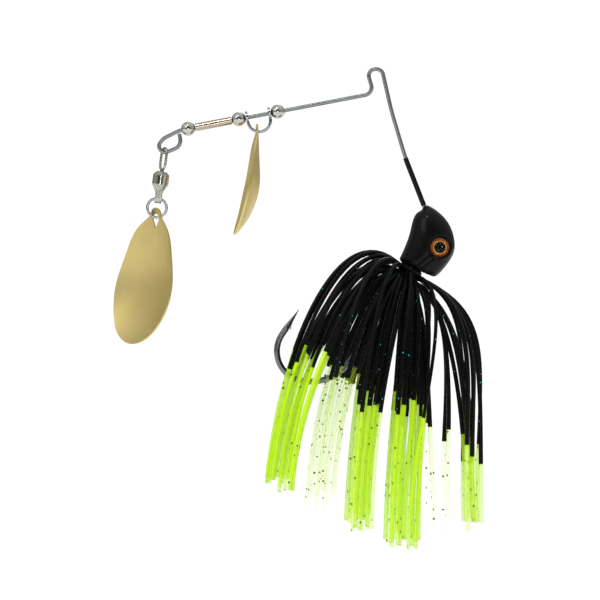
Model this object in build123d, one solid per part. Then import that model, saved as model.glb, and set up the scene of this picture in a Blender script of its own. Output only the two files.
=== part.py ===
from build123d import *
from math import asin, atan2, cos, degrees, radians, sin, sqrt, tan
import os

# Spinnerbait: a bent wire carries a lead head with a hook and a silicone skirt on one side, and
# two cupped blades on the other. Millimetres, +Z up. The wire form and the hook lie in the XZ
# plane, with the blade arm towards -X. The origin is the wire's centreline at the crown of the
# line-tie bend.

os.makedirs("parts", exist_ok=True)

# ---- driving dimensions -------------------------------------------------------------------
WIRE_D = 0.90  # stainless form wire
RUN_FIT = 0.10  # radial clearance of everything that turns on the wire
SEAT = 0.01  # gap between fixed pieces that lie against each other
GAP = 0.12  # gap between neighbours threaded on the arm

CROWN_R = 1.5  # bend radii of the line tie, on the centreline
THROAT_R = 1.7
LEG_BEND_R = 60.0
ARM_DROP_DEG = 10.8  # the blade arm falls away from the line tie
LOOP_R = 1.35  # lower arc of the closed end loop
LOOP_AT = (-46.45, -16.95)  # its centre, as X, Z
LOOP_ARC_DEG = (140, 292)

LINE_TIE = [(-2.15, 0.0), (1.21, 0.0)]  # corners of the crown
THROAT = (-0.61, -5.37)  # corner between the crown and the blade arm
LEG = [(3.3, -9.2), (6.4, -19.6)]  # corners of the slightly bowed leg
INTO_LOOP = [(-43.34, -13.53), (-46.76, -15.22)]  # corners from the arm into the end loop
OUT_OF_LOOP = [(-42.86, -16.96), (-43.35, -14.25)]  # and from its lower arc back up to the arm
WIRE_TAIL = [(1.6, -1.6), (-1.0, -1.42)]  # cast in: along and across the shank from the hook's eye
COAT_LENGTH, COAT_D = 11.2, 1.14  # paint that runs up the wire from the head

HOOK_D = 1.35
HOOK_GAP = 15.62  # shank to point, centre to centre
SHANK_AT = (-4.07, -61.6)  # a point of the shank, where s = 0
SHANK_DEG = 56.0  # slope of the shank
BEND_RADII, BEND_TURNS_DEG = (10.5, 6.6), (67.1, 112.9)  # the round bend is two arcs
SHANK_START_S, SHANK_END_S = -3.06, 28.6
POINT_LEG, POINT_TAPER = 1.7, 4.9
EYE_S, EYE_R, EYE_WIRE_D = 30.4, 1.85, 1.3

HEAD_EYE = (13.8, -39.3)  # centre of the moulded eye socket, X and Z
BACK_FILLET = 1.1
GILL_AT = (10.9, -42.4)  # centre of the moulded gill groove, X and Z
GILL_SIZE, GILL_GROOVE, GILL_Y = (4.2, 1.5), 0.35, 4.3  # its length and height, width, and side
EYE_D, EYE_FLOOR_Y, RIM_D, RIM_Y = 4.2, 3.75, 5.7, 4.5
EYE_PRINT_T, DOME_RISE = 0.15, 0.85

KEEPER_D, KEEPER_TOP_S, KEEPER_END_S = 3.4, 23.0, 16.9
BAND_S, BAND_D, BAND_LENGTH = 19.15, 5.2, 2.8
STRAND_D = 0.9
STRANDS_ROUND = (15, 14, 12)  # per layer, before the gap left for the hook's point
ARCH_R = ((13.0, 22.0), (9.5, 14.0), (5.5, 6.5))  # arch radii on the point side and far side
STRAND_LENGTH = (59.0, 60.0, 62.0)
POINT_SIDE_EXTRA = 4.0  # strands on the point side are this much longer than the middle ones
LAYER_STEP, STRAND_LEAD = 1.0, 0.6
HOOK_CLEARANCE_DEG = 12  # strands keep this far round the shank from the hook's point

BEAD_D = 3.2
BEAD_FLAT = 0.1  # depth of the small flats round a bead's bore
REAR_BEAD_Q, MIDDLE_BEAD_Q = 41.5, 30.2  # distances along the arm from the throat corner
TUBE_D = 1.75

CLEVIS_WIRE_D, CLEVIS_R, CLEVIS_LEG = 0.70, 2.5, 1.1
CLEVIS_EYE_D, CLEVIS_EYE_T = 2.8, 0.5

FRONT_BLADE = dict(
    length=24.9, width=14.8, depth=3.15, cup=2.4, thickness=0.40, tab=1.4,
    hole_r=0.72, hole_at=1.92, hole_tail=0,
)
REAR_BLADE = dict(
    length=30.5, width=18.2, depth=3.55, cup=2.6, thickness=0.40, tab=1.6,
    hole_r=1.08, hole_at=2.36, hole_tail=1.75,
)
FRONT_HANG, REAR_HANG = 1.67, 2.08  # how far below its tab's top each blade is held
WIDEST_AT = 0.59  # share of a blade's length from the tab to its widest place
# Half widths of a blade as shares of the widest, at shares of its length.
BLADE_SHAPE = [(0.13, 0.45), (0.34, 0.81), (WIDEST_AT, 1.0), (0.80, 0.86), (0.945, 0.51)]
FRONT_TURN_DEG, REAR_TURN_DEG = 4.6, 44.0  # how far each hanging blade is turned about Z
BLADE_LEAN_DEG = 10.9  # both blades hang leaning towards -X

SWIVEL_LEAN_DEG = 7.65
LINK_WIRE_D, LINK_R, LINK_TURN_DEG = 0.60, 1.2, 30.0
LINK_TOP, LINK_BOTTOM = 0.48, 5.2  # centreline, measured down the swivel from the loop's centre
BARREL_TOP, BARREL_END, BARREL_D, BARREL_BORE_D = 5.62, 8.8, 3.6, 2.9
STEM_D, STEM_HEAD_D = 0.9, 2.4
RACE_TOP, BALL_D, BALL_PITCH_D, BALLS = 6.60, 0.70, 1.9, 6
BALLS_AT = RACE_TOP + 0.05 + BALL_D / 2
WASHER_D, WASHER_T = 2.5, 0.22
STEM_HEAD_AT, STEM_HEAD_T = BALLS_AT + BALL_D / 2 + 0.05 + WASHER_T + 0.02, 0.55
TAIL_EYE_AT, TAIL_EYE_R, TAIL_HOLE_R, TAIL_T, CONE_END_D = 11.60, 1.14, 0.72, 1.5, 1.9

RING_R, RING_RADIAL, RING_AXIAL = 2.1, 0.60, 0.94  # split ring, to the middle of its section
RING_JOIN_DEG, RING_SPLIT_AT_DEG = 40, 205  # where its two turns join
TAB_SLANT = 0.207  # rise of a blade's tab over its rim plane


# ---- helpers ------------------------------------------------------------------------------
def xz(x, z):
    """A point of the bait's middle plane."""
    return Vector(x, 0, z)


def bar(path, diameter):
    """A round bar along a path."""
    return sweep(Plane(origin=path @ 0, z_dir=path % 0) * Circle(diameter / 2), path=path)


def corner_between(centre, radius, start_deg, end_deg):
    """Where the tangents of an arc's two ends meet: the corner whose fillet is that arc."""
    reach = radius / cos(radians(end_deg - start_deg) / 2)
    middle = radians(start_deg + end_deg) / 2
    return (centre[0] + reach * cos(middle), centre[1] + reach * sin(middle))


ARM = Vector(-cos(radians(ARM_DROP_DEG)), 0, -sin(radians(ARM_DROP_DEG)))
ARM_DOWN = Vector(sin(radians(ARM_DROP_DEG)), 0, -cos(radians(ARM_DROP_DEG)))
SHANK = Vector(cos(radians(SHANK_DEG)), 0, sin(radians(SHANK_DEG)))
TO_POINT = Vector(-SHANK.Z, 0, SHANK.X)
SWIVEL_DOWN = Vector(-sin(radians(SWIVEL_LEAN_DEG)), 0, -cos(radians(SWIVEL_LEAN_DEG)))


def on_arm(q):
    return xz(*THROAT) + ARM * q


def on_shank(s, towards_point=0.0):
    return xz(*SHANK_AT) + SHANK * s + TO_POINT * towards_point


def across_arm(q):
    """A plane across the blade arm, its Z along the arm towards the end loop."""
    return Plane(origin=on_arm(q), x_dir=(0, 1, 0), z_dir=ARM)


def along_shank(s):
    """A plane across the shank, its Z down the shank and its X towards the point."""
    return Plane(origin=on_shank(s), x_dir=TO_POINT, z_dir=-SHANK)


def down_swivel(t):
    """A plane across the swivel, its Z down the swivel and its X in the bait's middle plane."""
    return Plane(
        origin=xz(*LOOP_AT) + SWIVEL_DOWN * t,
        x_dir=(-SWIVEL_DOWN.Z, 0, SWIVEL_DOWN.X),
        z_dir=SWIVEL_DOWN,
    )


# ---- wire form ----------------------------------------------------------------------------
def wire_form():
    """The one piece of wire: tail round the hook's eye, leg, line tie, blade arm, end loop."""
    tail = [on_shank(EYE_S + along, across) for along, across in WIRE_TAIL]
    loop_corner = corner_between(LOOP_AT, LOOP_R, *LOOP_ARC_DEG)
    bends = [*LEG[::-1], *LINE_TIE[::-1], THROAT, *INTO_LOOP, loop_corner, *OUT_OF_LOOP]
    radii = [0.6, LEG_BEND_R, LEG_BEND_R, CROWN_R, CROWN_R, THROAT_R, 4.0, 2.5, LOOP_R, 2.0]
    return bar(FilletPolyline(*tail, *[xz(x, z) for x, z in bends], radius=radii), WIRE_D)


def coat_bar():
    """The painted lower leg as one bar, from the leg's corner towards the hook's eye."""
    start = xz(*LEG[1])
    down = (on_shank(EYE_S) - start).normalized()
    return bar(Line(start, start + down * COAT_LENGTH), COAT_D)


def wire_coat(wire):
    """Paint on the lower leg, a thin skin on the wire that runs into the head."""
    return coat_bar() - wire


# ---- head, eyes and hook ------------------------------------------------------------------
def head_blank():
    """The bare head: ovals across its profile, from the nose at the wire to the broad back.

    Each section is given by its two ends in the middle plane and its half thickness.
    """
    sections = [
        ((10.25, -30.35), (11.05, -29.95), 0.62),
        ((9.35, -31.35), (12.9, -30.85), 1.95),
        ((8.2, -32.8), (15.2, -32.95), 3.3),
        ((7.6, -35.0), (16.6, -35.4), 4.05),
        ((6.9, -37.5), (17.25, -38.6), 4.4),
        ((5.8, -40.2), (16.6, -41.4), 4.3),
        ((5.1, -41.7), (14.4, -44.4), 3.9),
        ((5.45, -42.6), (12.6, -45.75), 3.3),
    ]
    rings = []
    for (x0, z0), (x1, z1), half_thick in sections:
        across = Vector(x1 - x0, 0, z1 - z0)
        plane = Plane(
            origin=xz((x0 + x1) / 2, (z0 + z1) / 2),
            x_dir=across,
            z_dir=Vector(0, 1, 0).cross(across),
        )
        rings.append(plane * Ellipse(across.length / 2, half_thick))
    blank = loft(rings)
    return fillet(blank.faces().sort_by(Axis.Z)[0].edges(), BACK_FILLET)


def gill_slot(side):
    """Cutter for the round-ended groove behind the eye, on one side of the head."""
    x, z = GILL_AT
    slot = Plane(origin=(x, side * GILL_Y, z), x_dir=(1, 0, 0.8), z_dir=(0, side, 0))
    island = SlotOverall(GILL_SIZE[0] - 2 * GILL_GROOVE, GILL_SIZE[1] - 2 * GILL_GROOVE)
    return extrude(slot * (SlotOverall(*GILL_SIZE) - island), amount=0.8, both=True)


def socket_cylinder(diameter, start_y, end_y, side):
    x, z = HEAD_EYE
    plane = Plane(origin=(x, side * start_y, z), x_dir=(1, 0, 0), z_dir=(0, side, 0))
    return extrude(plane * Circle(diameter / 2), amount=end_y - start_y)


def keeper():
    """Collar cast round the shank, with a barb ring that stops the skirt sliding off."""
    length = KEEPER_TOP_S - KEEPER_END_S
    radius = KEEPER_D / 2
    profile = Polyline(
        (0, 0), (radius, 0), (radius, length - 0.8), (radius + 0.35, length - 0.7),
        (radius - 0.5, length), (0, length), (0, 0),
    )
    face = make_face(Plane.XZ * profile)
    return along_shank(KEEPER_TOP_S).location * revolve(face, Axis.Z)


def head(wire, hook_form):
    body = head_blank() + keeper()
    for side in (1, -1):
        rim = socket_cylinder(RIM_D, EYE_FLOOR_Y - 1.5, RIM_Y, side)
        rim = fillet(rim.edges().group_by(Axis.Y)[-1 if side > 0 else 0], 0.35)
        body = body + rim
        body = body - socket_cylinder(EYE_D + 0.04, EYE_FLOOR_Y, RIM_Y + 1, side)
        body = body - gill_slot(side)
    return body - wire - hook_form - coat_bar()


def eye_disc(side):
    """Printed eye, bedded on the socket's floor."""
    return socket_cylinder(EYE_D, EYE_FLOOR_Y + SEAT, EYE_FLOOR_Y + SEAT + EYE_PRINT_T, side)


def eye_dome(side):
    """Clear dome over the printed eye, a cap of a sphere."""
    base, radius = EYE_FLOOR_Y + EYE_PRINT_T + 2 * SEAT, EYE_D / 2
    sphere_r = (radius**2 + DOME_RISE**2) / (2 * DOME_RISE)
    x, z = HEAD_EYE
    ball = Pos(x, side * (base + DOME_RISE - sphere_r), z) * Sphere(sphere_r)
    return ball & socket_cylinder(EYE_D, base, base + DOME_RISE + 0.1, side)


def hook():
    """Ring eye, straight shank, round bend of two arcs, point leg with needle point and barb."""
    first_turn, second_turn = BEND_TURNS_DEG
    first_corner_s = SHANK_START_S - BEND_RADII[0] * tan(radians(first_turn / 2))
    second_corner_s = first_corner_s - HOOK_GAP / tan(radians(first_turn))
    leg_start_s = second_corner_s + BEND_RADII[1] * tan(radians(second_turn / 2))
    taper_s = leg_start_s + POINT_LEG
    path = FilletPolyline(
        on_shank(SHANK_END_S),
        on_shank(first_corner_s),
        on_shank(second_corner_s, HOOK_GAP),
        on_shank(taper_s, HOOK_GAP),
        radius=BEND_RADII,
    )
    point_base = Plane(origin=on_shank(taper_s, HOOK_GAP), x_dir=(0, 1, 0), z_dir=SHANK)
    point = point_base.offset(POINT_TAPER / 2).location * Cone(HOOK_D / 2, 0.05, POINT_TAPER)
    eye_plane = Plane(origin=on_shank(EYE_S), x_dir=SHANK, z_dir=TO_POINT)
    eye = eye_plane.location * Torus(EYE_R, EYE_WIRE_D / 2)
    inner = HOOK_GAP - HOOK_D / 2
    barb_outline = Polyline(
        on_shank(taper_s + 2.2, inner + 0.45),
        on_shank(taper_s + 0.1, inner - 0.5),
        on_shank(taper_s + 0.5, inner + 0.3),
        close=True,
    )
    barb = extrude(make_face(barb_outline), amount=0.22, dir=(0, 1, 0), both=True)
    return bar(path, HOOK_D) + point + eye + barb


# ---- skirt --------------------------------------------------------------------------------
def skirt_band():
    """Ring that grips the strands on the keeper."""
    ring = Cylinder(BAND_D / 2, BAND_LENGTH) - Cylinder(KEEPER_D / 2 + SEAT, BAND_LENGTH)
    ring = fillet(ring.edges().filter_by(GeomType.CIRCLE).group_by(SortBy.RADIUS)[-1], 0.5)
    return along_shank(BAND_S).location * ring


def strand(turn_deg, layer):
    """One strand: straight out of the band, over in one arc, then straight down.

    turn_deg goes round the shank from the hook-point side. Layer 0 is furthest up the shank and
    arches widest, and layer 2 lies inside the others.
    """
    turn = radians(turn_deg)
    out = TO_POINT * cos(turn) + Vector(0, 1, 0) * sin(turn)
    start = on_shank(BAND_S + (1 - layer) * LAYER_STEP) + out * (BAND_D / 2 + SEAT)
    heading = Vector(out.X, out.Y, 0)
    rise = atan2(out.Z, heading.length)
    point_side, far_side = ARCH_R[layer]
    arch_r = point_side + (far_side - point_side) * (1 - cos(turn)) / 2
    lead = arch_r * tan((rise + radians(90)) / 2) + STRAND_LEAD
    arc_length = arch_r * (rise + radians(90))
    drop = STRAND_LENGTH[layer] + POINT_SIDE_EXTRA * cos(turn) - arc_length - STRAND_LEAD
    drop += arch_r * tan((rise + radians(90)) / 2)
    corner = Vector(lead * cos(rise), lead * sin(rise))
    path = FilletPolyline((0, 0), corner, corner - Vector(0, drop), radius=arch_r)
    upright = Plane(origin=start, x_dir=heading, z_dir=heading.cross(Vector(0, 0, 1)))
    return bar(upright * path, STRAND_D)


def strand_group(first_deg, last_deg):
    """The strands whose headings lie between two angles round the shank, as separate solids."""
    strands = []
    for layer, count in enumerate(STRANDS_ROUND):
        step = 360 / count
        headings = [step * (i + 0.5 * (1 + layer % 2)) for i in range(count)]
        strands += [strand(h, layer) for h in headings if first_deg <= h < last_deg]
    return Compound(children=strands)


# ---- pieces threaded on the arm -----------------------------------------------------------
def bead(q):
    """Ball with a bore and a small flat at each end of it."""
    ball = Sphere(BEAD_D / 2) & Box(BEAD_D, BEAD_D, BEAD_D - 2 * BEAD_FLAT)
    ball = ball - Cylinder(WIRE_D / 2 + RUN_FIT, BEAD_D)
    return across_arm(q).location * ball


BEAD_HALF = BEAD_D / 2 - BEAD_FLAT
TUBE_ENDS = (MIDDLE_BEAD_Q + BEAD_HALF + GAP, REAR_BEAD_Q - BEAD_HALF - GAP)
CLEVIS_Q = MIDDLE_BEAD_Q - BEAD_HALF - GAP - CLEVIS_EYE_T / 2 - CLEVIS_R
FRONT_BEAD_Q = CLEVIS_Q - CLEVIS_R - CLEVIS_EYE_T / 2 - GAP - BEAD_HALF


def spacer_tube():
    length = TUBE_ENDS[1] - TUBE_ENDS[0]
    tube = Cylinder(TUBE_D / 2, length) - Cylinder(WIRE_D / 2 + RUN_FIT, length)
    return across_arm(sum(TUBE_ENDS) / 2).location * tube


def clevis():
    """Stirrup: two flat eyes on the arm, joined by a U of wire that the blade hangs from."""
    left, right = -CLEVIS_R, CLEVIS_R
    bottom = CLEVIS_LEG + CLEVIS_R
    corners = [(left, 0.75), (left, bottom), (right, bottom), (right, 0.75)]
    points = [on_arm(CLEVIS_Q) + ARM * along + ARM_DOWN * down for along, down in corners]
    body = bar(FilletPolyline(*points, radius=CLEVIS_R - 0.01), CLEVIS_WIRE_D)
    for side in (left, right):
        eye = Cylinder(CLEVIS_EYE_D / 2, CLEVIS_EYE_T)
        eye = fillet(eye.edges(), 0.12)
        body = body + across_arm(CLEVIS_Q + side).location * eye
    bore = Cylinder(WIRE_D / 2 + RUN_FIT, 4 * CLEVIS_R)
    return body - across_arm(CLEVIS_Q).location * bore


# ---- blades -------------------------------------------------------------------------------
def polar(radius, angle_deg, drop):
    """A point at a radius and angle about a centre that lies a drop below the origin."""
    angle = radians(angle_deg)
    return (radius * cos(angle), radius * sin(angle) - drop)


def blade_outline(length, width, tab):
    """Flat outline with the tab's top at the origin and the blade hanging down -Y."""
    half = width / 2
    right = [(half * across, -length * down) for down, across in BLADE_SHAPE]
    side = Spline(
        (tab, -tab), *right, (0, -length), tangents=[(0.5, -1), (-1, 0)], tangent_scalars=(0.5, 1)
    )
    top = ThreePointArc((tab, -tab), (0, 0), (-tab, -tab))
    return make_face(side + top + mirror(side, Plane.YZ))


def tear_hole(radius, tail):
    """Round hole drawn out downwards to a narrow end."""
    tip_r = 0.25
    slope = asin((radius - tip_r) / tail)
    (x0, y0), (x1, y1) = [
        (r * cos(slope), -at - r * sin(slope)) for r, at in ((radius, 0), (tip_r, tail))
    ]
    flanks = Polygon((x0, y0), (-x0, y0), (-x1, y1), (x1, y1))
    return Circle(radius) + flanks + Pos(0, -tail) * Circle(tip_r)


def blade(length, width, depth, cup, thickness, tab, hole_r, hole_at, hole_tail):
    """Spoon-shaped blade: a curved strip swept down its length and trimmed to the outline.

    The tab runs straight at a slant, then one arc dips to the depth and comes back up at the tip.
    The strip's own dip is the cup, so the rim bows by the depth less the cup. Convex side
    towards +Z.
    """
    widest = WIDEST_AT * length
    tail = length - widest
    long_r = (tail**2 + depth**2) / (2 * depth)
    straight = sqrt(widest**2 - tail**2)
    slant = (widest - straight) / long_r
    bend = slant + 1.15 * tail / long_r
    ramp = Line((-2.0, -2.0 * tan(slant)), (straight, straight * tan(slant)))
    arc = JernArc(ramp @ 1, ramp % 1, long_r, -degrees(bend))
    path = Plane(origin=(0, 0, 0), x_dir=(0, -1, 0), z_dir=(-1, 0, 0)) * (ramp + arc)
    cross_r = ((width / 2) ** 2 + cup**2) / (2 * cup)
    half_angle = 1.12 * degrees(atan2(width / 2, cross_r - cup))
    outer, inner = cross_r, cross_r - thickness
    strip = make_face(
        CenterArc((0, -cross_r), outer, 90 - half_angle, 2 * half_angle)
        + CenterArc((0, -cross_r), inner, 90 - half_angle, 2 * half_angle)
        + Line(polar(outer, 90 - half_angle, cross_r), polar(inner, 90 - half_angle, cross_r))
        + Line(polar(outer, 90 + half_angle, cross_r), polar(inner, 90 + half_angle, cross_r))
    )
    start = Plane(origin=path @ 0, x_dir=(1, 0, 0), z_dir=path % 0)
    shell = sweep(start * strip, path=path)
    trim = extrude(blade_outline(length, width, tab), amount=3 * depth, both=True)
    hole = tear_hole(hole_r, hole_tail) if hole_tail else Circle(hole_r)
    punch = extrude(Pos(0, -hole_at) * hole, amount=3 * depth, both=True)
    return (shell & trim) - punch


def hang(shape, grip, below_top, turn_deg):
    """Hang a blade so that the spot below_top down its tab lies at grip.

    The blade is turned about Z, with its convex side towards +X, and then leans towards -X.
    """
    turn = radians(turn_deg)
    width_dir = Vector(-sin(turn), cos(turn), 0)
    plane = Plane(origin=(0, 0, 0), x_dir=width_dir, z_dir=width_dir.cross(Vector(0, 0, 1)))
    lean = Rotation(0, BLADE_LEAN_DEG, 0)
    spot = lean * plane.location * Pos(0, -below_top, below_top * TAB_SLANT)
    return Pos(*(grip - spot.position)) * lean * plane.location * shape


# ---- swivel and split ring ----------------------------------------------------------------
def swivel_eye():
    """Link that hangs in the end loop, with the stem and rivet head that turn in the barrel."""
    half_height = (LINK_BOTTOM - LINK_TOP) / 2
    flat = FilletPolyline(
        (LINK_R, half_height), (-LINK_R, half_height),
        (-LINK_R, -half_height), (LINK_R, -half_height),
        radius=LINK_R - 0.005, close=True,
    )
    upright = Plane(origin=(0, 0, LINK_TOP + half_height), x_dir=(0, 1, 0), z_dir=(1, 0, 0))
    link = Rotation(0, 0, -LINK_TURN_DEG) * bar(upright * flat, LINK_WIRE_D)
    stem_end = STEM_HEAD_AT + STEM_HEAD_T
    stem = Pos(0, 0, (LINK_BOTTOM + stem_end) / 2) * Cylinder(STEM_D / 2, stem_end - LINK_BOTTOM)
    rivet = Pos(0, 0, STEM_HEAD_AT + STEM_HEAD_T / 2) * Cylinder(STEM_HEAD_D / 2, STEM_HEAD_T)
    rivet = fillet(rivet.edges(), 0.15)
    return down_swivel(0).location * (link + stem + rivet)


def swivel_washer():
    washer = Cylinder(WASHER_D / 2, WASHER_T) - Cylinder(STEM_D / 2 + 0.02, WASHER_T)
    return down_swivel(STEM_HEAD_AT - 0.02 - WASHER_T / 2).location * washer


def bearing_balls():
    """Loose balls that carry the pull between the barrel's shoulder and the washer."""
    balls = [
        down_swivel(BALLS_AT).location * Rotation(0, 0, i * 360 / BALLS) * Pos(BALL_PITCH_D / 2, 0)
        * Sphere(BALL_D / 2)
        for i in range(BALLS)
    ]
    return Compound(children=balls)


def turned(outline):
    """A solid of revolution about the swivel, from (radius, distance down the swivel) points."""
    face = make_face(Plane.XZ * Polyline(*outline, close=True))
    return down_swivel(0).location * revolve(face, Axis.Z)


def swivel_barrel():
    """Shell with a shoulder for the balls inside its top and a crimped lower end."""
    bore, neck = BARREL_BORE_D / 2, STEM_D / 2 + RUN_FIT
    outer = BARREL_D / 2
    return turned([
        (neck, BARREL_TOP), (1.0, BARREL_TOP), (1.22, BARREL_TOP + 0.16),
        (outer - 0.12, BARREL_TOP + 0.62), (outer, BARREL_TOP + 0.9), (outer, BARREL_END - 0.3),
        (outer - 0.12, BARREL_END), (bore, BARREL_END), (bore, RACE_TOP), (neck, RACE_TOP),
    ])


def swivel_tail():
    """Plug crimped into the barrel, drawn down to a flat eye that holds the split ring."""
    cone_end = BARREL_END + 1.4
    plug = turned([
        (0, BARREL_END - 0.5), (BARREL_BORE_D / 2 - 0.005, BARREL_END - 0.5),
        (BARREL_BORE_D / 2 - 0.005, BARREL_END + 0.03), (BARREL_D / 2 - 0.14, BARREL_END + 0.03),
        (CONE_END_D / 2, cone_end), (0, cone_end),
    ])
    neck = Box(TAIL_T, 2 * TAIL_EYE_R, TAIL_EYE_AT - cone_end + 0.4)
    neck = Pos(0, 0, (TAIL_EYE_AT + cone_end - 0.4) / 2) * neck
    eye = Pos(0, 0, TAIL_EYE_AT) * Rotation(0, 90, 0) * Cylinder(TAIL_EYE_R, TAIL_T)
    hole = Rotation(0, 90, 0) * Cylinder(TAIL_HOLE_R, 2 * TAIL_T)
    hole = Pos(0, 0, TAIL_EYE_AT) * hole + Pos(0, 0, TAIL_EYE_AT - 0.5) * hole
    return plug + down_swivel(0).location * ((neck + eye) - hole)


def split_ring():
    """Two flat turns of wire, joined over a short arc and split by a fine slit elsewhere."""
    ring_plane = Plane(origin=RING_CENTRE, x_dir=(1, 0, 0), z_dir=(0, 1, 0))
    outer, inner = RING_R + RING_RADIAL / 2, RING_R - RING_RADIAL / 2
    body = Cylinder(outer, RING_AXIAL) - Cylinder(inner, RING_AXIAL)
    body = fillet(body.edges().filter_by(GeomType.CIRCLE), 0.16)
    sector = RING_JOIN_DEG
    slit = Cylinder(outer + 1, 0.05, arc_size=360 - sector) - Cylinder(inner - 1, 0.05)
    body = body - slit
    for face, angle in ((1, 0), (-1, -sector)):
        cut = Pos(RING_R, 0, face * RING_AXIAL / 4) * Box(1.2, 0.14, RING_AXIAL / 2)
        body = body - Rotation(0, 0, angle) * cut
    return ring_plane.location * Rotation(0, 0, RING_SPLIT_AT_DEG) * body


# ---- places of the hanging pieces ---------------------------------------------------------
RING_CENTRE = xz(*LOOP_AT) + SWIVEL_DOWN * (TAIL_EYE_AT + RING_R)
REAR_GRIP = RING_CENTRE - Vector(0, 0, RING_R)
STIRRUP_CENTRE = on_arm(CLEVIS_Q) + ARM_DOWN * CLEVIS_LEG
FRONT_GRIP_LEAN = radians(5)  # the front blade sits a little off the stirrup's lowest point
FRONT_GRIP = STIRRUP_CENTRE - xz(sin(FRONT_GRIP_LEAN), cos(FRONT_GRIP_LEAN)) * CLEVIS_R


def rear_blade():
    return hang(blade(**REAR_BLADE), REAR_GRIP, REAR_HANG, REAR_TURN_DEG)


def front_blade():
    return hang(blade(**FRONT_BLADE), FRONT_GRIP, FRONT_HANG, FRONT_TURN_DEG)


# ---- every sub-part as its own file -------------------------------------------------------
WIRE, HOOK = wire_form(), hook()

NODES = {
    "wire_form": WIRE,
    "wire_coat": wire_coat(WIRE),
    "head": head(WIRE, HOOK),
    "hook": HOOK,
    "eye_left": eye_disc(1),
    "eye_right": eye_disc(-1),
    "eye_dome_left": eye_dome(1),
    "eye_dome_right": eye_dome(-1),
    "skirt_band": skirt_band(),
    "skirt_strands_left_rear": strand_group(HOOK_CLEARANCE_DEG, 90),
    "skirt_strands_left_fore": strand_group(90, 180),
    "skirt_strands_right_fore": strand_group(180, 270),
    "skirt_strands_right_rear": strand_group(270, 360 - HOOK_CLEARANCE_DEG),
    "front_bead": bead(FRONT_BEAD_Q),
    "middle_bead": bead(MIDDLE_BEAD_Q),
    "rear_bead": bead(REAR_BEAD_Q),
    "spacer_tube": spacer_tube(),
    "clevis": clevis(),
    "front_blade": front_blade(),
    "swivel_eye": swivel_eye(),
    "swivel_washer": swivel_washer(),
    "bearing_balls": bearing_balls(),
    "swivel_barrel": swivel_barrel(),
    "swivel_tail": swivel_tail(),
    "split_ring": split_ring(),
    "rear_blade": rear_blade(),
}

for node, shape in NODES.items():
    export_step(shape, f"parts/{node}.step")
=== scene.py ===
"""Looks of a spinnerbait: finishes for its metal parts, and a skirt of limp silicone strands."""

import math
import random

import bpy
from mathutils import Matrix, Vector
from mathutils.bvhtree import BVHTree

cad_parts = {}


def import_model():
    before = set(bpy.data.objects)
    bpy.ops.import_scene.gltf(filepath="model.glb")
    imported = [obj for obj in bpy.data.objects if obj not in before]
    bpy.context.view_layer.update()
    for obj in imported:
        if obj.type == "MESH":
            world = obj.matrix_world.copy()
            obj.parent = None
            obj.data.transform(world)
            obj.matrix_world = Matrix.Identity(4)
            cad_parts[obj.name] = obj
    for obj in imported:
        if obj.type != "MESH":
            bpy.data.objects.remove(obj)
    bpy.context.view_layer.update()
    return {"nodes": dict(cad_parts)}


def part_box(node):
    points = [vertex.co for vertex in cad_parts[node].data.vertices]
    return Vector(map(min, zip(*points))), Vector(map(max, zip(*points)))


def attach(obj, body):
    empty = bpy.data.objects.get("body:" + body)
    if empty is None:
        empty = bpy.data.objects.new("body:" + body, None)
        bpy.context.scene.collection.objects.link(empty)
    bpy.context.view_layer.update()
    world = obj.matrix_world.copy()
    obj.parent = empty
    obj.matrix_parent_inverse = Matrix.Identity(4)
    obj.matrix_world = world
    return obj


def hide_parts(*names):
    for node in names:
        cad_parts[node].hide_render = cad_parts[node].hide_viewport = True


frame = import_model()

MM = 0.001


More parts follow.
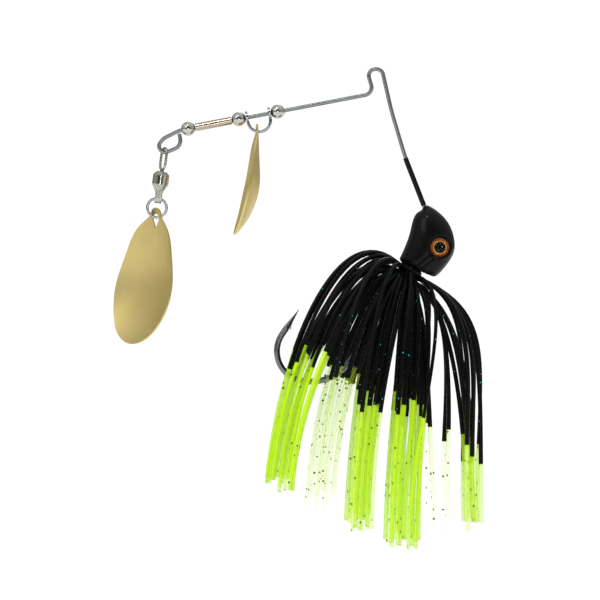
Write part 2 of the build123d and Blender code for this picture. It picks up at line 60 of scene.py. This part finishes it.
# ---- node helpers -------------------------------------------------------------------------
class Paint:
    """A material under construction: a Principled shader and short ways to feed it."""

    def __init__(self, name, **values):
        self.material = bpy.data.materials.new(name)
        self.material.use_nodes = True
        self.tree = self.material.node_tree
        self.shader = self.tree.nodes["Principled BSDF"]
        for key, value in values.items():
            self.set(key.replace("_", " "), value)

    def set(self, socket, value):
        """Sets a socket of the shader to a plain value, or links it to another socket."""
        target = self.shader.inputs[socket]
        if isinstance(value, bpy.types.NodeSocket):
            self.tree.links.new(value, target)
        elif isinstance(value, tuple):
            target.default_value = (*value, 1.0)[:4] if len(target.default_value) == 4 else value
        else:
            target.default_value = value

    def node(self, kind, inputs=(), **settings):
        node = self.tree.nodes.new(kind)
        for key, value in settings.items():
            setattr(node, key, value)
        for slot, value in dict(inputs).items():
            if isinstance(value, bpy.types.NodeSocket):
                self.tree.links.new(value, node.inputs[slot])
            else:
                node.inputs[slot].default_value = value
        return node

    def place(self):
        """Position in the shared frame, in metres."""
        return self.node("ShaderNodeTexCoord").outputs["Object"]

    def math(self, operation, a, b=0.0, clamp=False):
        node = self.node("ShaderNodeMath", {0: a, 1: b}, operation=operation, use_clamp=clamp)
        return node.outputs[0]

    def noise(self, size_mm, detail=3.0, stretch=(1.0, 1.0, 1.0), rotate=(0.0, 0.0, 0.0)):
        """Noise whose features are about size_mm across, stretched along chosen axes."""
        mapping = self.node(
            "ShaderNodeMapping",
            {"Vector": self.place(), "Rotation": rotate, "Scale": tuple(1 / s for s in stretch)},
        )
        return self.node(
            "ShaderNodeTexNoise",
            {"Vector": mapping.outputs[0], "Scale": 1 / (size_mm * MM), "Detail": detail},
        ).outputs[0]

    def ramp(self, factor, *stops):
        """Colour ramp from (place, value) stops, where a value is a grey level or a colour."""
        node = self.node("ShaderNodeValToRGB", {"Fac": factor})
        band = node.color_ramp
        while len(band.elements) < len(stops):
            band.elements.new(0.5)
        for element, (place, value) in zip(band.elements, stops):
            element.position = place
            element.color = (*(value if isinstance(value, tuple) else (value,) * 3), 1.0)
        return node.outputs[0]

    def mix(self, factor, a, b):
        """Colour between a and b, each a linked socket or a plain colour."""
        a, b = ((*colour, 1.0) if isinstance(colour, tuple) else colour for colour in (a, b))
        return self.node("ShaderNodeMix", {0: factor, 6: a, 7: b}, data_type="RGBA").outputs[2]

    def bump(self, height, depth_mm, strength):
        node = self.node(
            "ShaderNodeBump", {"Height": height, "Distance": depth_mm * MM, "Strength": strength}
        )
        self.set("Normal", node.outputs[0])


def metal(name, colour, roughness, tarnish, grain_mm=0.25, stretch=(1, 1, 1), rotate=(0, 0, 0)):
    """Plated or drawn metal: fine grain in the gloss, and a slow drift towards tarnish."""
    p = Paint(name, Metallic=1.0)
    drift = p.noise(3.0, 2.0)
    p.set("Base Color", p.mix(p.ramp(drift, (0.35, 0.0), (0.75, 0.40)), colour, tarnish))
    grain = p.noise(grain_mm, 2.0, stretch, rotate)
    p.set("Roughness", p.ramp(grain, (0.3, roughness * 0.92), (0.7, roughness * 1.08)))
    return p.material


# ---- materials ----------------------------------------------------------------------------
ARM_SLOPE = math.radians(10.8)  # the blade arm falls by this much towards its end loop
LEAN = math.radians(10.9)  # both blades hang leaning by this much


def steel_wire():
    """Stainless wire, its grain drawn out along the arm."""
    return metal(
        "drawn_wire", (0.26, 0.275, 0.28), 0.30, (0.18, 0.19, 0.195), 0.12, (14, 1, 1),
        (0, -ARM_SLOPE, 0),
    )


def black_paint():
    """Powder paint: deep black, glossy, with faint orange peel and a few dust nibs."""
    p = Paint("black_paint", Coat_Weight=0.3, Coat_Roughness=0.04, Coat_IOR=1.35)
    drift = p.noise(2.5)
    p.set("Base Color", p.ramp(drift, (0.3, 0.0018), (0.8, 0.0035)))
    p.set("Specular IOR Level", 0.05)
    p.set("Roughness", p.ramp(p.noise(0.6), (0.3, 0.30), (0.8, 0.40)))
    peel = p.noise(0.8, 2.0)
    nibs = p.ramp(p.noise(0.25, 1.0), (0.74, 0.0), (0.8, 0.6))
    p.bump(p.math("ADD", peel, nibs), 0.012, 0.35)
    return p.material


def black_nickel():
    """Dark plating on the hook."""
    return metal("hook_black_nickel", (0.19, 0.19, 0.205), 0.24, (0.10, 0.10, 0.11), 0.2)


def printed_eye(node):
    """Printed eye: dark pupil, a thin gold ring and a mottled orange iris with a dark edge."""
    low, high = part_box(node)
    centre = (low + high) / 2
    radius = (high.x - low.x) / 2
    p = Paint("eye_" + node, Roughness=0.5, Specular_IOR_Level=0.04)
    offset = p.node(
        "ShaderNodeVectorMath", {0: p.place(), 1: centre}, operation="SUBTRACT"
    ).outputs[0]
    flat = p.node(
        "ShaderNodeVectorMath", {0: offset, 1: (1, 0, 1)}, operation="MULTIPLY"
    ).outputs[0]
    length = p.node("ShaderNodeVectorMath", {0: flat}, operation="LENGTH").outputs["Value"]
    wobble = p.math("MULTIPLY", p.math("SUBTRACT", p.noise(0.35), 0.5), 0.06)
    out = p.math("ADD", p.math("DIVIDE", length, radius), wobble)
    rings = p.ramp(
        out,
        (0.0, (0.001, 0.001, 0.001)), (0.54, (0.002, 0.001, 0.001)), (0.60, (0.90, 0.45, 0.07)),
        (0.68, (0.95, 0.50, 0.09)), (0.73, (0.38, 0.06, 0.006)), (0.86, (0.90, 0.20, 0.02)),
        (0.95, (0.42, 0.07, 0.01)), (1.0, (0.10, 0.015, 0.004)),
    )
    mottle = p.ramp(p.noise(0.16), (0.3, 0.55), (0.7, 1.0))
    shade = p.node(
        "ShaderNodeMix", {0: 1.0, 6: rings, 7: mottle}, data_type="RGBA", blend_type="MULTIPLY"
    )
    p.set("Base Color", shade.outputs[2])
    return p.material


def clear_epoxy():
    """Poured clear resin, a little uneven, with faint dull patches."""
    p = Paint("clear_epoxy", Transmission_Weight=1.0, IOR=1.22, Base_Color=(1.0, 0.99, 0.97))
    p.set("Roughness", p.ramp(p.noise(0.5), (0.4, 0.0), (0.9, 0.05)))
    p.bump(p.noise(1.2), 0.006, 0.3)
    return p.material


def satin_gold():
    """Gold plate with a satin grain down the blade and small dark handling marks."""
    p = Paint("satin_gold", Metallic=1.0)
    drift = p.noise(6.0, 3.0)
    plate = p.mix(p.ramp(drift, (0.3, 0.0), (0.75, 1.0)), (0.66, 0.535, 0.225), (0.60, 0.48, 0.19))
    specks = p.ramp(p.noise(0.45, 1.0), (0.77, 0.0), (0.81, 0.55))
    p.set("Base Color", p.mix(specks, plate, (0.30, 0.20, 0.06)))
    grain = p.noise(0.10, 3.0, (1, 1, 9), (0, -LEAN, 0))
    p.set("Roughness", p.ramp(grain, (0.25, 0.42), (0.75, 0.52)))
    p.bump(grain, 0.0015, 0.3)
    return p.material


def nickel(name, colour=(0.50, 0.505, 0.475), roughness=0.10):
    """Bright plating that yellows a little as it tarnishes."""
    return metal(name, colour, roughness, (0.34, 0.31, 0.24), 0.3)


def silicone():
    """Strand silicone: glossy black with blue-green flakes, then clear chartreuse with dark ones.

    The mesh's "beyond" attribute is how many millimetres a spot lies past the colour change, and
    "own" is the strand's tone: 0 for the strongest colour, 1 for the clearest.
    """
    p = Paint("skirt_silicone", IOR=1.43)
    beyond = p.node("ShaderNodeAttribute", attribute_name="beyond").outputs["Fac"]
    own = p.node("ShaderNodeAttribute", attribute_name="own").outputs["Fac"]
    green = p.ramp(p.math("ADD", p.math("MULTIPLY", beyond, 2.5), 0.5), (0.35, 0.0), (0.65, 1.0))

    def flakes(size_mm, share):
        cells = p.node(
            "ShaderNodeTexVoronoi", {"Vector": p.place(), "Scale": 1 / (size_mm * MM)}
        )
        tone = p.node("ShaderNodeSeparateColor", {"Color": cells.outputs["Color"]}).outputs[0]
        chosen = p.math("GREATER_THAN", tone, 1 - share)
        near = p.math("LESS_THAN", cells.outputs["Distance"], 0.42)
        return p.math("MULTIPLY", chosen, near)

    dark_flakes = flakes(0.62, 0.035)
    blue_flakes = flakes(0.34, 0.006)
    black = p.mix(blue_flakes, p.ramp(own, (0.0, 0.0018), (1.0, 0.0040)), (0.05, 0.42, 0.50))
    lime = p.ramp(own, (0.0, (0.56, 0.86, 0.006)), (1.0, (0.64, 0.86, 0.04)))
    lime = p.mix(dark_flakes, lime, (0.02, 0.09, 0.012))
    p.set("Base Color", p.mix(green, black, lime))
    clear = p.math("MULTIPLY", green, p.math("SUBTRACT", 1.0, dark_flakes))
    film = p.ramp(own, (0.0, 0.30), (1.0, 0.89))
    film = p.math("ADD", film, p.math("MULTIPLY", beyond, 0.004), clamp=True)
    p.set("Alpha", p.math("SUBTRACT", 1.0, p.math("MULTIPLY", clear, film)))
    p.set("Roughness", p.ramp(p.noise(0.9), (0.3, 0.20), (0.8, 0.34)))
    p.set("Specular IOR Level", 0.13)
    p.bump(p.noise(0.5, 2.0), 0.01, 0.3)
    return p.material


def finishes():
    wire, paint, gold = steel_wire(), black_paint(), satin_gold()
    swivel = nickel("swivel_nickel", (0.42, 0.42, 0.37), 0.12)
    bead = nickel("bead_nickel")
    by_node = {
        "wire_form": wire,
        "wire_coat": paint,
        "head": paint,
        "hook": black_nickel(),
        "eye_left": printed_eye("eye_left"),
        "eye_right": printed_eye("eye_right"),
        "front_bead": bead,
        "middle_bead": bead,
        "rear_bead": bead,
        "spacer_tube": metal(
            "tube_brass", (0.44, 0.38, 0.31), 0.14, (0.24, 0.15, 0.085), 0.15, (8, 1, 1),
            (0, -ARM_SLOPE, 0),
        ),
        "clevis": metal("stirrup_steel", (0.33, 0.35, 0.355), 0.14, (0.20, 0.21, 0.22)),
        "front_blade": gold,
        "rear_blade": gold,
        "split_ring": metal("ring_steel", (0.31, 0.325, 0.32), 0.15, (0.19, 0.20, 0.20)),
    }
    for node in ("swivel_eye", "swivel_washer", "bearing_balls", "swivel_barrel", "swivel_tail"):
        by_node[node] = swivel
    dome = clear_epoxy()
    by_node["eye_dome_left"] = by_node["eye_dome_right"] = dome
    for node, material in by_node.items():
        for slot in frame["nodes"][node].material_slots:
            slot.material = material


# ---- gill lips ----------------------------------------------------------------------------
GILL_FROM_EYE = Vector((-2.9, 0, -3.1)) * MM
GILL_RISE = 0.8  # the groove climbs by this much for each unit forward
LIP_HALF_LENGTH, LIP_END_R = 1.35 * MM, 0.86 * MM
LIP_BEAD_R = 0.11 * MM
LIP_POINTS = 60
OUTSIDE_HEAD = 20 * MM


def gill_lips():
    """The paint's thick lip round each gill groove, a thin bead laid on the head's surface."""
    shape = frame["nodes"]["head"].data
    tree = BVHTree.FromPolygons(
        [v.co.copy() for v in shape.vertices], [tuple(f.vertices) for f in shape.polygons]
    )
    eye_low, eye_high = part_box("eye_right")
    centre = (eye_low + eye_high) / 2 + GILL_FROM_EYE
    along = Vector((1, 0, GILL_RISE)).normalized()
    across = Vector((-along.z, 0, along.x))
    for side, name in ((1, "gill_lip_left"), (-1, "gill_lip_right")):
        points = []
        for i in range(LIP_POINTS):
            angle = math.tau * i / LIP_POINTS
            end = math.copysign(LIP_HALF_LENGTH, math.cos(angle))
            spot = centre + along * (end + LIP_END_R * math.cos(angle))
            spot += across * LIP_END_R * math.sin(angle)
            spot.y = side * OUTSIDE_HEAD
            hit = tree.ray_cast(spot, Vector((0, -side, 0)))[0]
            if hit is not None:
                points.append(hit)
        curve = bpy.data.curves.new(name, "CURVE")
        curve.dimensions = "3D"
        curve.bevel_depth = LIP_BEAD_R
        curve.bevel_resolution = 3
        spline = curve.splines.new("POLY")
        spline.points.add(len(points) - 1)
        for slot, point in zip(spline.points, points):
            slot.co = (*point, 1)
        spline.use_cyclic_u = True
        lip = bpy.data.objects.new(name, curve)
        bpy.context.collection.objects.link(lip)
        curve.materials.append(frame["nodes"]["head"].material_slots[0].material)
        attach(lip, "root")


# ---- skirt --------------------------------------------------------------------------------
SHANK_SLOPE = math.radians(56)
SHANK = Vector((math.cos(SHANK_SLOPE), 0, math.sin(SHANK_SLOPE)))
TO_POINT = Vector((-SHANK.z, 0, SHANK.x))
band_low, band_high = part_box("skirt_band")
BAND = (band_low + band_high) / 2
BAND_R = 2.6 * MM
SIDE = Vector((0, 1, 0))

STRAND_STEPS = 30  # pieces that a strand's centreline is drawn in
SECTION_POINTS = 8  # points round a strand's flat section
LAYER_STEP = 1.1 * MM  # between layers, along the shank
GRIP_DEPTH = 0.25 * MM  # how far a strand starts inside the band
LAYER_REACH = (1.0, 0.72, 0.42)  # share of the widest arch that each layer reaches
LAYER_SPREAD = (15, 10.5, 6.5)  # how far to the side each layer's tips hang
MIDDLE_SPREAD = 1.6  # the least that a tip hangs to the side
HOOK_CLEAR = 1.35 * MM  # strands keep this far from the hook's plane

# Bunches that the strands hang in: X and Z ranges of their tips, and Z of the colour change.
BUNCHES = {
    "outer_point": dict(x=(-24.6, -18.2), z=(-93, -89.5), change=(-67.5, -60.5), own=(0, 0.3)),
    "inner_point": dict(x=(-15.8, -8.5), z=(-97, -92.5), change=(-69.5, -65), own=(0.75, 1)),
    "under_point": dict(x=(-6.6, -1.0), z=(-101, -98), change=(-75.5, -69), own=(0.1, 0.5)),
    "under_head": dict(x=(2.0, 9.4), z=(-105, -102.5), change=(-79, -71), own=(0, 0.35)),
    "stray": dict(x=(10.5, 16.5), z=(-104.5, -97), change=(-88, -77), own=(0.8, 1)),
    "far": dict(x=(19.2, 22.9), z=(-101, -98), change=(-87, -80), own=(0.2, 0.6)),
}


def bezier(p0, p1, p2, p3, t):
    u = 1 - t
    return p0 * u**3 + p1 * (3 * u * u * t) + p2 * (3 * u * t * t) + p3 * t**3


def strand_path(turn, layer, bunch, side, spot, rng):
    """Centreline from under the band, out and over, then down to its tip in the bunch."""
    out = TO_POINT * math.cos(turn) + SIDE * math.sin(turn)
    start = BAND + SHANK * LAYER_STEP * (1 - layer) + out * (BAND_R - GRIP_DEPTH)
    x0, x1 = bunch["x"]
    z0, z1 = bunch["z"]
    depth = abs(math.sin(turn)) * LAYER_SPREAD[layer] + MIDDLE_SPREAD + rng.uniform(-0.6, 0.8)
    tip = Vector((x0 + (x1 - x0) * spot, depth * side, z0 + (z1 - z0) * rng.random())) * MM
    lift = SHANK * (0.22 - 0.22 * layer)
    arch = (11.5 + 9.0 * abs(math.cos(turn))) * LAYER_REACH[layer] * rng.uniform(0.9, 1.1) * MM
    lean = Vector(((start.x - tip.x) * 0.10, (start.y - tip.y) * 0.10, 0)) / (30 * MM)
    above = (Vector((0, 0, 1)) + lean).normalized() * rng.uniform(24, 30) * MM
    over = start + (out + lift).normalized() * arch
    sway_x, sway_y, phase = rng.uniform(-0.5, 0.5), rng.uniform(-0.4, 0.4), rng.uniform(0, math.tau)
    points = []
    for i in range(STRAND_STEPS + 1):
        t = i / STRAND_STEPS
        point = bezier(start, over, tip + above, tip, t)
        wave = math.sin(t * 7.0 + phase) * t * (1 - 0.4 * t)
        point.x += sway_x * wave * MM
        point.y += sway_y * wave * MM
        if abs(point.y) < HOOK_CLEAR and t > 0.06:
            point.y = side * HOOK_CLEAR
        points.append(point)
    return points


def sweep_flat(points, width, thick, twist, vertices, faces):
    """Adds a closed strand of rounded flat section along the points."""
    n = SECTION_POINTS
    section = []
    for k in range(n):
        angle = math.tau * (k + 0.5) / n
        across, up = (math.copysign(abs(c) ** 0.6, c) for c in (math.cos(angle), math.sin(angle)))
        section.append((across * width / 2, up * thick / 2))
    first = len(vertices)
    side = None
    count = len(points)
    for i, point in enumerate(points):
        ahead = (points[min(i + 1, count - 1)] - points[max(i - 1, 0)]).normalized()
        if side is None:
            side = ahead.orthogonal().normalized()
        side = (side - ahead * side.dot(ahead)).normalized()
        other = ahead.cross(side)
        turn = twist[0] + twist[1] * i / count
        a = side * math.cos(turn) + other * math.sin(turn)
        b = other * math.cos(turn) - side * math.sin(turn)
        vertices += [point + a * u + b * v for u, v in section]
    for i in range(count - 1):
        low = first + i * n
        high = low + n
        for k in range(n):
            faces.append((low + k, low + (k + 1) % n, high + (k + 1) % n, high + k))
    faces.append(tuple(first + n - 1 - k for k in range(n)))
    faces.append(tuple(first + (count - 1) * n + k for k in range(n)))


def silicone_piece(name, node, vertices, faces, beyond, own, material):
    """A silicone mesh on the root body that replaces a node, with what its material reads."""
    mesh = bpy.data.meshes.new(name)
    mesh.from_pydata(vertices, [], faces)
    for key, values in (("beyond", beyond), ("own", own)):
        mesh.attributes.new(key, "FLOAT", "POINT").data.foreach_set("value", values)
    mesh.shade_smooth()
    piece = bpy.data.objects.new(name, mesh)
    bpy.context.collection.objects.link(piece)
    mesh.materials.append(material)
    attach(piece, "root")
    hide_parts(node)


def strand_piece(name, node, plan, side, material, seed):
    """One quarter of the skirt: the strands in the plan, as one piece that replaces a node."""
    rng = random.Random(seed)
    vertices, faces, beyond, own = [], [], [], []
    for bunch_name, turns in plan:
        bunch = BUNCHES[bunch_name]
        for index, (degrees, layer) in enumerate(turns):
            turn = math.radians(degrees + rng.uniform(-3, 3)) * side
            spot = (index + (0.25 if side > 0 else 0.75) + rng.uniform(-0.2, 0.2)) / len(turns)
            path = strand_path(turn, layer, bunch, side, spot, rng)
            sweep_flat(
                path, rng.uniform(0.98, 1.12) * MM, rng.uniform(0.72, 0.84) * MM,
                (rng.uniform(0, math.pi), rng.uniform(-0.8, 0.8)), vertices, faces,
            )
            change = rng.uniform(*bunch["change"]) * MM
            tone = rng.uniform(*bunch["own"])
            for point in path:
                beyond += [(change - point.z) / MM] * SECTION_POINTS
                own += [tone] * SECTION_POINTS
    silicone_piece(name, node, vertices, faces, beyond, own, material)


def turns_between(first, last, layers):
    """Turns round the shank, evenly from first to last, with the layer of each."""
    count = len(layers)
    return [(first + (last - first) * i / max(count - 1, 1), int(c)) for i, c in enumerate(layers)]


def skirt():
    material = silicone()
    point_side = (
        ("outer_point", turns_between(10, 54, "0101020101")),
        ("inner_point", turns_between(28, 74, "21202121")),
        ("under_point", turns_between(54, 88, "10212121")),
    )
    far_side = (
        ("under_head", turns_between(90, 142, "021210212")),
        ("stray", turns_between(138, 160, "21")),
        ("far", turns_between(146, 176, "01010")),
    )
    strand_piece("strands_left_rear", "skirt_strands_left_rear", point_side, 1, material, 11)
    strand_piece("strands_left_fore", "skirt_strands_left_fore", far_side, 1, material, 12)
    strand_piece("strands_right_fore", "skirt_strands_right_fore", far_side, -1, material, 13)
    strand_piece("strands_right_rear", "skirt_strands_right_rear", point_side, -1, material, 14)
    collar(material)


COLLAR_AROUND, COLLAR_RINGS = 90, 14
COLLAR_BELOW, COLLAR_ABOVE = 1.35, 2.9  # how far it reaches down and up the shank
COLLAR_BORE_R, COLLAR_THICK, COLLAR_WAIST = 1.75, 0.78, 0.10
ALL_BLACK, COLLAR_TONE = -30.0, 0.3  # how far short of the colour change, and its own tone


def collar(material):
    """The band: a soft ring, drawn in at its middle and pushed out in ribs by the strands."""
    around, rings = COLLAR_AROUND, COLLAR_RINGS
    vertices, faces = [], []
    for i in range(rings):
        t = -1 + 2 * i / (rings - 1)
        rounding = math.sqrt(max(0.0, 1 - abs(t) ** 6))
        along = SHANK * t * (COLLAR_ABOVE if t > 0 else COLLAR_BELOW)
        for k in range(around):
            angle = math.tau * k / around
            rib = 0.10 * math.cos(15 * angle) + 0.05 * math.sin(4 * angle + 1)
            wall = (COLLAR_THICK - COLLAR_WAIST * (1 - t * t) + rib * rounding) * rounding
            out = TO_POINT * math.cos(angle) + SIDE * math.sin(angle)
            vertices.append(BAND + (along + out * (COLLAR_BORE_R + wall)) * MM)
    for i in range(rings):
        row, after = i * around, (i + 1) % rings * around
        for k in range(around):
            n = (k + 1) % around
            faces.append((row + n, row + k, after + k, after + n))
    beyond, own = [ALL_BLACK] * len(vertices), [COLLAR_TONE] * len(vertices)
    silicone_piece("skirt_collar", "skirt_band", vertices, faces, beyond, own, material)


# ---- studio -------------------------------------------------------------------------------
VIEW_CENTRE = Vector((-16.8, 0, -50.8)) * MM
VIEW_WIDTH = 132 * MM
LENS, SENSOR = 200.0, 36.0


def camera():
    data = bpy.data.cameras.new("camera")
    data.lens, data.sensor_width = LENS, SENSOR
    data.clip_start, data.clip_end = 0.01, 50.0
    eye = bpy.data.objects.new("camera", data)
    bpy.context.collection.objects.link(eye)
    eye.location = VIEW_CENTRE + Vector((0, -VIEW_WIDTH * LENS / SENSOR, 0))
    eye.rotation_euler = (math.radians(90), 0, 0)
    bpy.context.scene.camera = eye


def lamp(name, place, size, power):
    """A square area light that faces the bait."""
    data = bpy.data.lights.new(name, "AREA")
    data.energy, data.size = power, size
    light = bpy.data.objects.new(name, data)
    bpy.context.collection.objects.link(light)
    light.location = Vector(place)
    light.rotation_mode = "QUATERNION"
    light.rotation_quaternion = (VIEW_CENTRE - light.location).to_track_quat("-Z", "Y")


# Grey levels of the tent that reflections see: from below to above, and from the front to behind.
TENT_UPWARD = ((0.0, 0.50), (0.30, 0.52), (0.46, 0.34), (0.54, 0.50), (0.75, 0.80), (1.0, 0.95))
TENT_ONWARD = ((0.0, 0.16), (0.06, 0.20), (0.16, 0.62), (0.45, 1.0), (0.62, 0.78), (1.0, 0.45))
WHITE_LEVEL = 1.05  # of the world that everything but a reflection sees


def world():
    """White to the camera; reflections see a grey tent, paler above and dark round the camera."""
    scene_world = bpy.data.worlds.new("studio")
    bpy.context.scene.world = scene_world
    scene_world.use_nodes = True
    tree = scene_world.node_tree
    tree.nodes.clear()
    link = tree.links.new

    def add(kind, **settings):
        node = tree.nodes.new(kind)
        for key, value in settings.items():
            setattr(node, key, value)
        return node

    place = add("ShaderNodeTexCoord")
    split = add("ShaderNodeSeparateXYZ")
    link(place.outputs["Generated"], split.inputs[0])

    def graded(axis, low, high, stops):
        """Grey levels along one axis of the direction looked in."""
        share = add("ShaderNodeMapRange")
        share.inputs["From Min"].default_value = low
        share.inputs["From Max"].default_value = high
        link(split.outputs[axis], share.inputs["Value"])
        band = add("ShaderNodeValToRGB")
        while len(band.color_ramp.elements) < len(stops):
            band.color_ramp.elements.new(0.5)
        for element, (at, level) in zip(band.color_ramp.elements, stops):
            element.position = at
            element.color = (level, level, level, 1)
        link(share.outputs[0], band.inputs[0])
        return band.outputs[0]

    upward = graded("Z", -1, 1, TENT_UPWARD)
    onward = graded("Y", -1, 1, TENT_ONWARD)
    tent = add("ShaderNodeMix", data_type="RGBA", blend_type="MULTIPLY")
    tent.inputs[0].default_value = 1.0
    link(upward, tent.inputs[6])
    link(onward, tent.inputs[7])
    soft = add("ShaderNodeBackground")
    soft.inputs["Strength"].default_value = 1.0
    link(tent.outputs[2], soft.inputs["Color"])
    white = add("ShaderNodeBackground")
    white.inputs["Color"].default_value = (1, 1, 1, 1)
    white.inputs["Strength"].default_value = WHITE_LEVEL
    path = add("ShaderNodeLightPath")
    mix = add("ShaderNodeMixShader")
    link(path.outputs["Is Glossy Ray"], mix.inputs[0])
    link(white.outputs[0], mix.inputs[1])
    link(soft.outputs[0], mix.inputs[2])
    out = add("ShaderNodeOutputWorld")
    link(mix.outputs[0], out.inputs["Surface"])


FLOOR_R, FLOOR_Z, FLOOR_SIDES = 2.5, -0.16, 64


def floor():
    """A round card well below the bait, nearly as white as the world."""
    mesh = bpy.data.meshes.new("floor")
    turns = [math.tau * i / FLOOR_SIDES for i in range(FLOOR_SIDES)]
    ring = [(FLOOR_R * math.cos(turn), FLOOR_R * math.sin(turn), FLOOR_Z) for turn in turns]
    mesh.from_pydata(ring, [], [tuple(range(FLOOR_SIDES))])
    plane = bpy.data.objects.new("floor", mesh)
    bpy.context.collection.objects.link(plane)
    p = Paint("floor_card", Roughness=0.9)
    p.set("Base Color", (0.93, 0.93, 0.925))
    p.set("Specular IOR Level", 0.1)
    p.set("Emission Color", (1.0, 1.0, 1.0))
    p.set("Emission Strength", 0.12)
    mesh.materials.append(p.material)


camera()
world()
floor()
lamp("key", (-0.55, -0.55, 0.45), 0.40, 0.9)
lamp("crown", (-0.16, -0.42, 0.62), 0.10, 0.55)
lamp("front", (-0.02, -1.0, -0.03), 0.08, 0.30)
lamp("back", (0.1, 0.7, 0.6), 0.5, 0.8)
bpy.context.scene.view_settings.view_transform = "Standard"
finishes()
gill_lips()
skirt()
